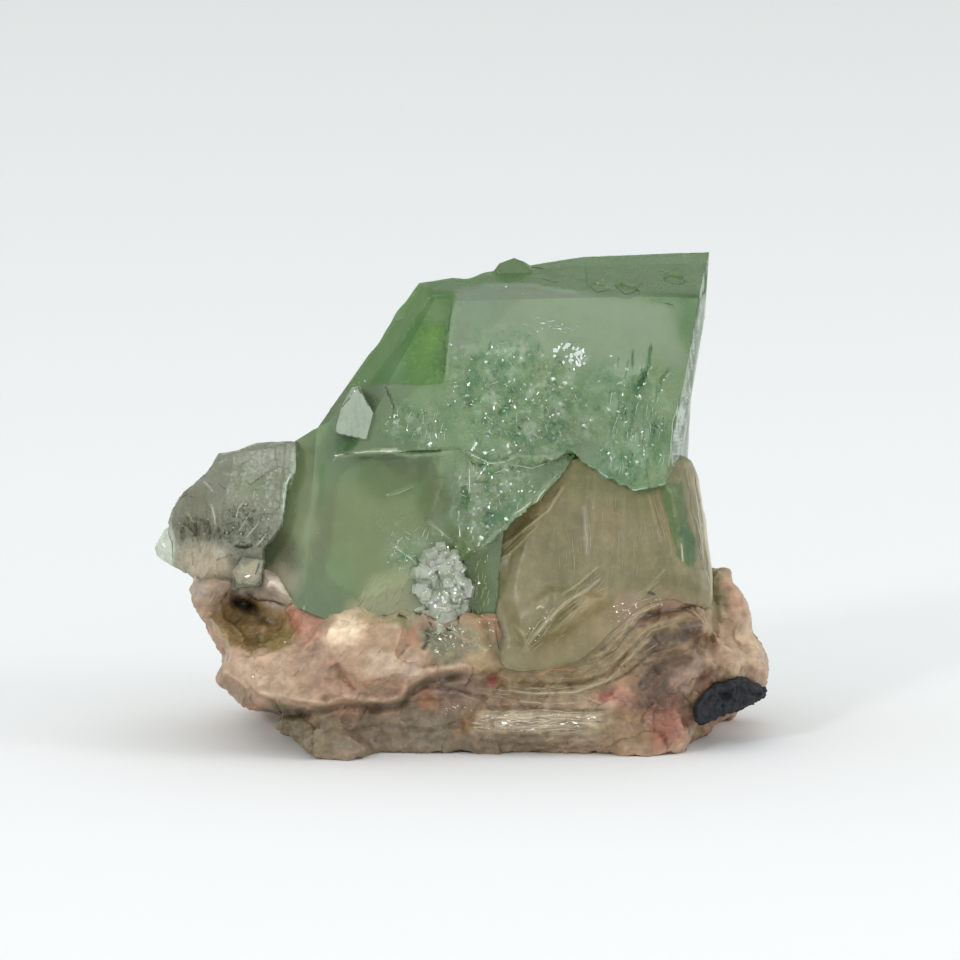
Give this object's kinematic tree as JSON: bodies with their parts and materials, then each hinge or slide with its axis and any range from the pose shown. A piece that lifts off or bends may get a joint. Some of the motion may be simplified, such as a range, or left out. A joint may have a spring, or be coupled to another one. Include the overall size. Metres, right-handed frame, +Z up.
{
  "type": "green apophyllite",
  "caption": "Mineral specimen: a blocky green crystal over a smaller one, with a pale crystal, a beige sheaf and a dark chip on a lumpy peach matrix that lies flat.",
  "frame": {"origin": "on the flat underside that the specimen rests on, below the middle of its width and near the middle of its depth", "axes": "+X to the right along its width, +Y from the front with the broad green face towards the back, +Z up"},
  "size_m": [0.0615, 0.0341, 0.048],
  "materials": {
    "green_crystal": "clear green crystal, glossy faces with a frosted plate",
    "pale_crystal": "cloudy grey crystal, satin",
    "clear_crystal": "clear crystal, glossy",
    "beige_stilbite": "silky and fibrous, a little translucent",
    "peach_stilbite": "lumpy, waxy, with glossy hollows",
    "basalt": "rough and pitted"
  },
  "bodies": {
    "root": {"green_apophyllite": "green_crystal", "pale_apophyllite": "pale_crystal", "clear_apophyllite_cluster": "clear_crystal", "stilbite_sheaf": "beige_stilbite", "stilbite_matrix": "peach_stilbite", "basalt_chip": "basalt"}
  },
  "joints": []
}
